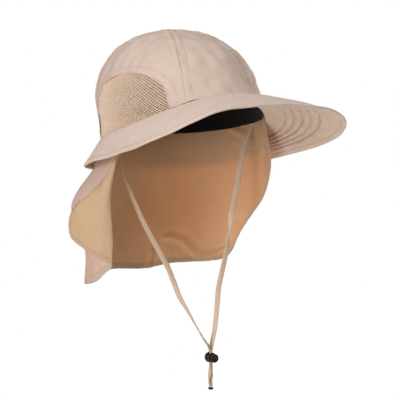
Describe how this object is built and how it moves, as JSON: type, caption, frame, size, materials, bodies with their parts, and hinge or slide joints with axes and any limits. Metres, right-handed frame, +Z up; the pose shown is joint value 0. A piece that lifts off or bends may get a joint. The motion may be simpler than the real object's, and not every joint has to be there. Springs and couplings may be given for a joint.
{
  "type": "sun hat with neck cape",
  "caption": "Soft sun hat with a paneled crown, mesh side windows, a drooping brim, an inner sweatband, a neck cape and a chin cord with a sprung lock.",
  "frame": {"origin": "middle of the head opening, on the level where the hat sits on a head", "axes": "+Z up, the wearer looks along -Y, and the wearer's left is +X; the hat is tilted front up by 8.6 degrees, as worn"},
  "size_m": [0.2215, 0.3141, 0.3808],
  "materials": {
    "crown_cloth": "matte",
    "net_cloth": "matte",
    "brim_cloth": "matte",
    "band_cloth": "matte",
    "cape_cloth": "matte",
    "lace": "matte",
    "lock_plastic": "satin"
  },
  "bodies": {
    "hat": {"crown_front": "crown_cloth", "crown_side_left": "crown_cloth", "crown_side_right": "crown_cloth", "crown_rear": "crown_cloth", "mesh_panel_left": "net_cloth", "mesh_panel_right": "net_cloth", "brim": "brim_cloth", "sweatband": "band_cloth", "neck_cape": "cape_cloth", "chin_cord_right": "lace", "chin_cord_left": "lace", "cord_tails": "lace", "cord_lock_body": "lock_plastic", "cord_tip": "lock_plastic"},
    "plunger": {"cord_lock_plunger": "lock_plastic"}
  },
  "joints": [
    {"name": "lock_press", "type": "slide", "parent": "hat", "child": "plunger", "axis": [0, 1, 0], "range_m": [0, 0.0028], "stiffness_N_per_m": 400, "springref_m": -0.003}
  ]
}
